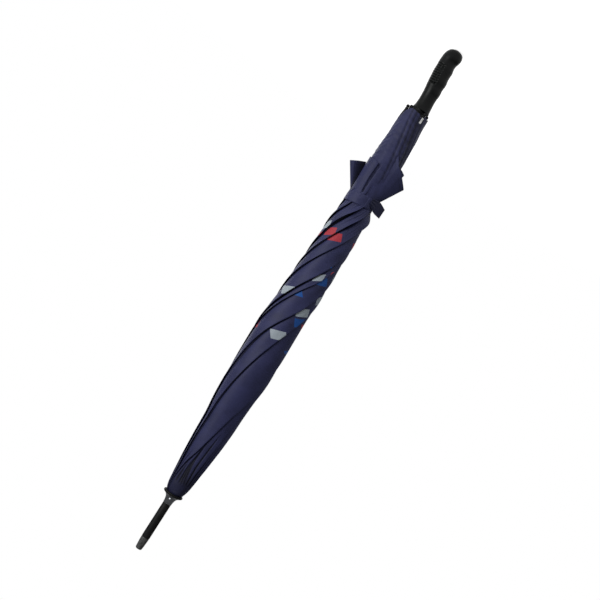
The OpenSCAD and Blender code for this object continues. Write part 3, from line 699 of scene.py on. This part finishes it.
def hemSpot(s, t):
    a = 360 * s
    turn = math.radians(a)
    soft = (ease((t - hem["calm"][0]) / hem["calm"][1])
            * ease((hem["calmEnd"][0] - t) / hem["calmEnd"][1]))
    r = flowing(hem["radius"], t) + soft * (hemFold(s, t) + wave(hem["swell"], turn, t))
    top, low = hem["frillLen"]
    r += ease((top - t) / top) * wave(hem["frills"][0], turn)  # gathered by the strap
    r += ease((t - 1 + low) / low) * wave(hem["frills"][1], turn)
    r -= hemTuck(hem["tuck"], a, t)
    p = around(r, a, hem["top"] + (hemEnd(a) - hem["top"]) * t)
    p.x += flowing(hem["lean"], t)
    return p


hemLen = hem["top"] - hem["end"]
bm = cloth(hem["cols"], hem["rows"], hemSpot,
           lambda s, t: (hem["flatWidth"] * s + hem["flatAt"][0], hem["flatAt"][1] + hemLen * t),
           lambda s, t: hemLen * (1 - t), hemShade, closed=True)
hemSize = clothArea(bm) / (hemLen * mm)
gather = keep(bm, "hem_gather", pongee, "shaft", ["hem_bundle"])
sag(gather)

# hem corners that stand out below the strap: where each one's root lies, then its hem from one
# foot over the fold to the other foot, each point as its turn, its reach by the strap's radius and
# its drop; painted shade is by corner, as its depth and how far it goes from the first foot
petals = dict(
    strapIn=25.6, rootR=25.0, rootZ=237, hemZ=230.9, flat=0.7, cols=72, rows=36, thick=0.5,
    ripple=0.35, rippleTurns=(4.1, 7), cut=(60, 55), cutStep=70, cutAt=(500, 590), hemRun=50,
    shade={1: (0.9, 0.36), 6: (0.55, 0.55)},
    roots=[(0, 30), (46, 66), (78, 103), (110, 134), (144, 168), (182, 256), (268, 280),
           (287, 346)],
    hems=[[(9, 1.08, 49), (-3, 1.53, 43), (-7, 1.79, 39), (-2, 2.02, 36), (7, 1.87, 38),
           (20, 1.52, 44), (37, 1.09, 50)],
          [(44, 1.08, 50), (47, 1.29, 47), (50, 1.54, 43), (54, 1.6, 42), (58, 1.5, 44),
           (64, 1.29, 47), (70, 1.08, 50)],
          [(76, 1.08, 55), (81, 1.21, 53), (87, 1.38, 50), (92, 1.43, 49), (96, 1.38, 50),
           (101, 1.21, 53), (105, 1.08, 55)],
          [(108, 1.08, 51), (112, 1.25, 48), (116, 1.46, 45), (120, 1.56, 43), (124, 1.48, 45),
           (130, 1.27, 48), (136, 1.08, 51)],
          [(140, 1.08, 70), (148, 1.21, 69), (156, 1.42, 66.5), (162, 1.6, 64), (166, 1.52, 65.2),
           (169, 1.29, 68.2), (172, 1.08, 70)],
          [(177, 1.05, 49), (193, 2.07, 40.5), (214, 1.66, 58), (228, 1.34, 68), (243, 1.06, 84),
           (253, 0.97, 94), (262, 0.92, 94)],
          [(258, 0.93, 76), (262, 0.97, 76), (266, 1.0, 75), (270, 1.01, 74), (273, 1.01, 72),
           (276, 0.99, 70), (279, 0.94, 68)],
          [(294, 1.07, 53), (287, 1.16, 54), (294, 1.185, 55), (306, 1.2, 56), (320, 1.18, 57),
           (333, 1.13, 58), (341, 1.08, 57)]])


def petalSpot(i, s, t):
    low, high = petals["roots"][i - 1]
    last = len(petals["hems"][i - 1]) - 1
    points = []
    for k, (turn, reach, drop) in enumerate(petals["hems"][i - 1]):
        root = around(petals["rootR"], low + (high - low) * k / last, petals["rootZ"])
        end = around(petals["strapIn"] * reach, turn, petals["hemZ"] - drop)
        points.append(root.lerp(end, t))
    x = s * last
    p = Vector(flowing([(k, point[axis]) for k, point in enumerate(points)], x)
               for axis in range(3))
    k = min(last - 1, int(x))  # nearly flat between the folds
    p = p.lerp(points[k].lerp(points[k + 1], x - k), petals["flat"])
    down, across = petals["rippleTurns"]
    ripple = petals["ripple"] * t * math.sin(math.pi * s) * math.sin(down * t + across * s + i)
    return p + Vector((p.x, p.y, 0)).normalized() * ripple


def petalShade(i, s):  # painted shade, dark on the side that is tucked in
    deep, reach = petals["shade"].get(i, (0, 1))
    return deep * ease((reach - s) / reach)


for i in ribNumbers:
    bm = cloth(petals["cols"], petals["rows"], lambda s, t: petalSpot(i, s, t),
               lambda s, t: (petals["cut"][0] * s + petals["cutStep"] * i + petals["cutAt"][0],
                             petals["cutAt"][1] + petals["cut"][1] * t),
               lambda s, t: petals["hemRun"] * (1 - t), lambda s, t: petalShade(i, s))
    size = math.sqrt(clothArea(bm))
    corner = keep(bm, f"hem_corner_{i}", pongee, "shaft", ["hem_petals"])
    thicken(corner, petals["thick"])
    sag(corner)
print("hem made")

# strap: a band round the roll that laps over its own start
strap = dict(radius=26.0, half=9.8, start=235, turn=374, rise=0.7, riseAt=(0.93, 0.05), thick=0.7,
             bow=0.25, waves=[(0.14, 9, 3), (0.12, 4, -5)], slant=0.1, cols=150, rows=10, width=20,
             length=168, cutAt=700, cutLen=170)


def strapSpot(s, t):
    a = strap["start"] + strap["turn"] * s
    w = 2 * t - 1
    start, span = strap["riseAt"]
    r = strap["radius"] + strap["rise"] * ease((s - start) / span) - strap["bow"] * w * w
    r += sum(wave(shape, math.radians(a), w) for shape in strap["waves"])
    p = around(r, a, stick["strapZ"] + strap["half"] * w)
    p.z += strap["slant"] * p.x
    return p


bm = cloth(strap["cols"], strap["rows"], strapSpot,
           lambda s, t: (strap["width"] * t, strap["cutAt"] + strap["cutLen"] * s))
band = keep(bm, "strap_band", pongee, "shaft", ["strap"])
thicken(band, strap["thick"], 0)
sag(band)

# the strap's loose end leaves the roll along its tangent, gathered at its root
tail = dict(root=27.2, turn=-125, length=32, thick=0.9, curl=1.2, shade=0.6, cols=26, rows=18,
            gather=(0.6, 19, 0), gatherLen=0.6, ripple=(0.3, 3, 2), cutAt=880,
            top=[(0, 231.6), (0.5, 229.4), (1, 235)], foot=[(0, 241.5), (0.5, 250.2), (1, 252.7)])


def tailSpot(s, t):
    top = flowing(tail["top"], s)
    z = top + (flowing(tail["foot"], s) - top) * t
    lift = (tail["curl"] * s * s + ease(1 - s / tail["gatherLen"]) * wave(tail["gather"], t)
            + wave(tail["ripple"], t, s) * s)
    out, side = around(1, tail["turn"], 0), around(1, tail["turn"] - 90, 0)
    return out * (tail["root"] + lift) + side * tail["length"] * s + Vector((0, 0, z))


# painted shade: the whole strap end is darkened evenly
bm = cloth(tail["cols"], tail["rows"], tailSpot,
           lambda s, t: (strap["width"] * t, tail["cutAt"] + tail["length"] * s), None,
           lambda s, t: tail["shade"])
tailSize = clothArea(bm) / (tail["length"] * mm)
tailPiece = keep(bm, "strap_end", pongee, "strap_tail", ["strap_tail"])
thicken(tailPiece, tail["thick"], 0)
sag(tailPiece)

# care label, sewn into the hem
label = dict(turn=-125, radius=24.1, width=3.8, top=83, bottom=72.5, thick=0.3, curl=0.5,
             ripple=(0.12, 7, 3), cols=8, rows=18, flat=(10, 11))


def labelSpot(s, t):
    a = label["turn"] + math.degrees(label["width"] * (s - 0.5) / label["radius"])
    z = label["top"] + (label["bottom"] - label["top"]) * t
    return around(label["radius"] + label["curl"] * t * t + wave(label["ripple"], t, s), a, z)


bm = cloth(label["cols"], label["rows"], labelSpot,
           lambda s, t: (label["width"] * s, label["flat"][1] * t))
labelArea = clothArea(bm)
labelPiece = keep(bm, "care_label_cloth", labelCloth, "shaft", ["care_label"])
thicken(labelPiece, label["thick"])
sag(labelPiece)
print("strap and label made")

# canopy panels: each lies along its rib
panel = dict(cols=30, rows=56, top=5.2, end=745, dip=18, low=2.25, high=1.75, near=0.0, far=2.8,
             pleat=0.45, blendAt=(2.4, -400), flat=(10, 735), leastArea=0.00225, flatStep=640)


def panelRun(s, t):  # distance down the rib, in a sector whose hem dips between the ribs
    half = math.radians(stick["fanTurn"] / 2)
    end = panel["end"] * math.cos(half) / math.cos((2 * s - 1) * half)
    end -= panel["dip"] * 4 * s * (1 - s)
    return panel["top"] + (end - panel["top"]) * t


def panelSpot(i, s, t):
    # the inverse of a curve that is soft at both ends, for where each column lies across the rib
    side = 0.5 - math.sin(math.asin(1 - 2 * s) / 3)
    out = panel["low"] + (panel["high"] - panel["low"]) * s
    out += panel["pleat"] * math.sin(math.pi * s)
    return ribPlace(i) @ Vector((out, panel["near"] + (panel["far"] - panel["near"]) * side,
                                 -panelRun(s, t)))


def panelFlat(i, s, t):
    run = panelRun(s, t)
    turn = math.radians(stick["fanTurn"]) * (s - 0.5)
    return run * math.sin(turn) + panel["flatStep"] * i, run * math.cos(turn)


for i in ribNumbers:
    bm = cloth(panel["cols"], panel["rows"], lambda s, t: panelSpot(i, s, t),
               lambda s, t: panelFlat(i, s, t),
               lambda s, t: panelRun(s, 1) - panelRun(s, t))
    stripArea = clothArea(bm)
    gore = keep(bm, f"gore_panel_{i}", pongee, None, [f"gore_{i}"])
    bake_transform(gore)
print("canopy panels made")

# floor: matt white paint that glows a little, so that it goes over into the white behind
ground = dict(z=-59.2, radius=1400, colour="#f6f6f5", glow=0.8)
bm = bmesh.new()
bmesh.ops.create_circle(bm, cap_ends=True, segments=96, radius=ground["radius"] * mm)
bmesh.ops.translate(bm, vec=(0, 0, ground["z"] * mm), verts=bm.verts)
floorMesh = bpy.data.meshes.new("floor")
bm.to_mesh(floorMesh)
bm.free()
floor = bpy.data.objects.new("floor", floorMesh)
bpy.context.scene.collection.objects.link(floor)
floorPaint = blank("paleFloor", {
    "Roughness": 0.9, "Specular IOR Level": 0.1, "Base Color": linear(ground["colour"]),
    "Emission Color": (1, 1, 1, 1), "Emission Strength": ground["glow"]})
floorMesh.materials.append(floorPaint[0])

# camera: level with the stick's middle and rolled, so that the stick lies as in the photograph
view = dict(aim=(-0.0041, 0, 0.4401), tilt=32.6, away=2.0, lens=70.9)
tilt = math.radians(view["tilt"])
right = Vector((-math.cos(tilt), 0, -math.sin(tilt)))
up = Vector((math.sin(tilt), 0, -math.cos(tilt)))
toCamera = Vector((0, -1, 0))
aim = Vector(view["aim"])
camera = bpy.data.objects.new("camera", bpy.data.cameras.new("camera"))
camera.data.lens = view["lens"]
camera.data.clip_end = 50
camera.matrix_world = (Matrix.Translation(aim + toCamera * view["away"])
                       @ Matrix((right, up, toCamera)).transposed().to_4x4())
bpy.context.scene.collection.objects.link(camera)
bpy.context.scene.camera = camera

# lights: places from the aim, sizes in metres and power in watts
lights = {"key": dict(place=-right * 1.4 + up * 1.1 + toCamera * 1.55, size=1.2, power=52),
          "fill": dict(place=right * 1.6 - up * 0.3 + toCamera * 1.6, size=1.8, power=3),
          "back": dict(place=-right * 1.0 - toCamera * 1.8 + up * 0.8, size=1.6, power=17),
          "top": dict(place=Vector((0.15, -0.75, 1.85)), size=0.55, power=5)}
for name, spec in lights.items():
    lamp = bpy.data.lights.new(name, "AREA")
    lamp.size = spec["size"]
    lamp.energy = spec["power"]
    lampPiece = bpy.data.objects.new(name, lamp)
    lampPiece.location = aim + spec["place"]
    lampPiece.rotation_euler = (-spec["place"]).to_track_quat("-Z", "Y").to_euler()
    bpy.context.scene.collection.objects.link(lampPiece)

# world: soft light all round, and plain white behind the object
surroundings = dict(light=0.2, behind=1.0)
world = bpy.data.worlds.new("studio")
world.use_nodes = True
bpy.context.scene.world = world
surround = world.node_tree.nodes["Background"]
surround.inputs["Color"].default_value = (1, 1, 1, 1)
seen = addNode(world, "ShaderNodeLightPath").outputs["Is Camera Ray"]
strength = addNode(world, "ShaderNodeMapRange", {"To Min": surroundings["light"],
                                                 "To Max": surroundings["behind"]}, {"Value": seen})
world.node_tree.links.new(strength.outputs["Result"], surround.inputs["Strength"])
bpy.context.scene.view_settings.view_transform = "Standard"
print("stage, light and camera set")
